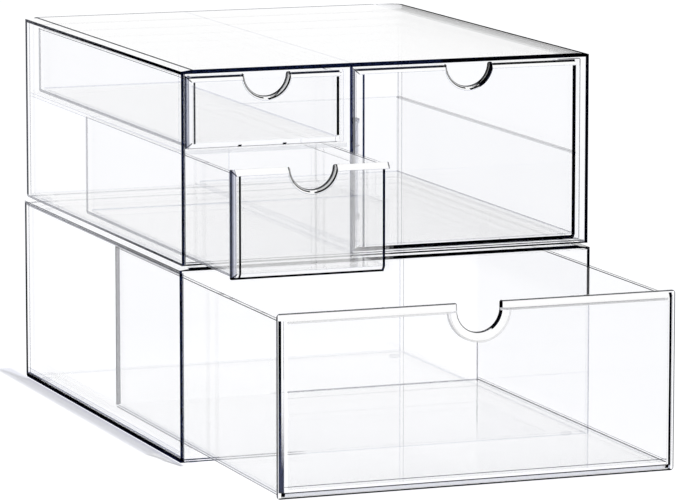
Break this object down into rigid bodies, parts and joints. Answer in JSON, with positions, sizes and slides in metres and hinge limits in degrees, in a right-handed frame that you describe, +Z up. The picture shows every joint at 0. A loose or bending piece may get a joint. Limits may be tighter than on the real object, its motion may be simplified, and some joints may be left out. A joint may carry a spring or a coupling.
{
  "type": "makeup organizer drawers",
  "caption": "Clear acrylic makeup organizer: stacked cabinets whose drawers slide in bays and have bevelled fronts with round finger notches.",
  "frame": {"origin": "on the ground in the middle of the footprint, with the wide drawer standing open", "axes": "+X to the right, +Y to the back, +Z up; the drawers open towards -Y"},
  "size_m": [0.3034, 0.527, 0.2722],
  "materials": {
    "cabinet_acrylic": "clear cast acrylic sheet, polished edges, faint blue cast",
    "drawer_acrylic": "clear cast acrylic sheet, polished and bevelled, faint blue cast",
    "clear_pad": "clear soft bumper"
  },
  "bodies": {
    "lower_cabinet": {"lower_back": "cabinet_acrylic", "lower_base": "cabinet_acrylic", "lower_lid": "cabinet_acrylic", "lower_pad_front_left": "clear_pad", "lower_pad_front_right": "clear_pad", "lower_pad_rear_left": "clear_pad", "lower_pad_rear_right": "clear_pad", "lower_runner_left": "cabinet_acrylic", "lower_runner_right": "cabinet_acrylic", "lower_side_left": "cabinet_acrylic", "lower_side_right": "cabinet_acrylic"},
    "wide_drawer": {"wide_drawer_floor": "drawer_acrylic", "wide_drawer_front": "drawer_acrylic", "wide_drawer_wall_back": "drawer_acrylic", "wide_drawer_wall_left": "drawer_acrylic", "wide_drawer_wall_right": "drawer_acrylic"},
    "upper_cabinet": {"middle_bay_runner_left": "cabinet_acrylic", "middle_bay_runner_right": "cabinet_acrylic", "tall_bay_runner_left": "cabinet_acrylic", "tall_bay_runner_right": "cabinet_acrylic", "top_bay_runner_left": "cabinet_acrylic", "top_bay_runner_right": "cabinet_acrylic", "upper_back": "cabinet_acrylic", "upper_base": "cabinet_acrylic", "upper_divider": "cabinet_acrylic", "upper_lid": "cabinet_acrylic", "upper_pad_front_left": "clear_pad", "upper_pad_front_right": "clear_pad", "upper_pad_rear_left": "clear_pad", "upper_pad_rear_right": "clear_pad", "upper_shelf": "cabinet_acrylic", "upper_side_left": "cabinet_acrylic", "upper_side_right": "cabinet_acrylic"},
    "top_drawer": {"top_drawer_floor": "drawer_acrylic", "top_drawer_front": "drawer_acrylic", "top_drawer_wall_back": "drawer_acrylic", "top_drawer_wall_left": "drawer_acrylic", "top_drawer_wall_right": "drawer_acrylic"},
    "middle_drawer": {"middle_drawer_floor": "drawer_acrylic", "middle_drawer_front": "drawer_acrylic", "middle_drawer_wall_back": "drawer_acrylic", "middle_drawer_wall_left": "drawer_acrylic", "middle_drawer_wall_right": "drawer_acrylic"},
    "tall_drawer": {"tall_drawer_floor": "drawer_acrylic", "tall_drawer_front": "drawer_acrylic", "tall_drawer_wall_back": "drawer_acrylic", "tall_drawer_wall_left": "drawer_acrylic", "tall_drawer_wall_right": "drawer_acrylic"}
  },
  "joints": [
    {"name": "wide_drawer_slide", "type": "slide", "parent": "lower_cabinet", "child": "wide_drawer", "axis": [0, -1, 0], "range_m": [-0.169, 0.071]},
    {"name": "upper_cabinet_lift", "type": "slide", "parent": "lower_cabinet", "child": "upper_cabinet", "axis": [0, 0, 1], "range_m": [0, 0.1]},
    {"name": "top_drawer_slide", "type": "slide", "parent": "upper_cabinet", "child": "top_drawer", "axis": [0, -1, 0], "range_m": [0, 0.24]},
    {"name": "middle_drawer_slide", "type": "slide", "parent": "upper_cabinet", "child": "middle_drawer", "axis": [0, -1, 0], "range_m": [-0.091, 0.129]},
    {"name": "tall_drawer_slide", "type": "slide", "parent": "upper_cabinet", "child": "tall_drawer", "axis": [0, -1, 0], "range_m": [0, 0.24]}
  ]
}
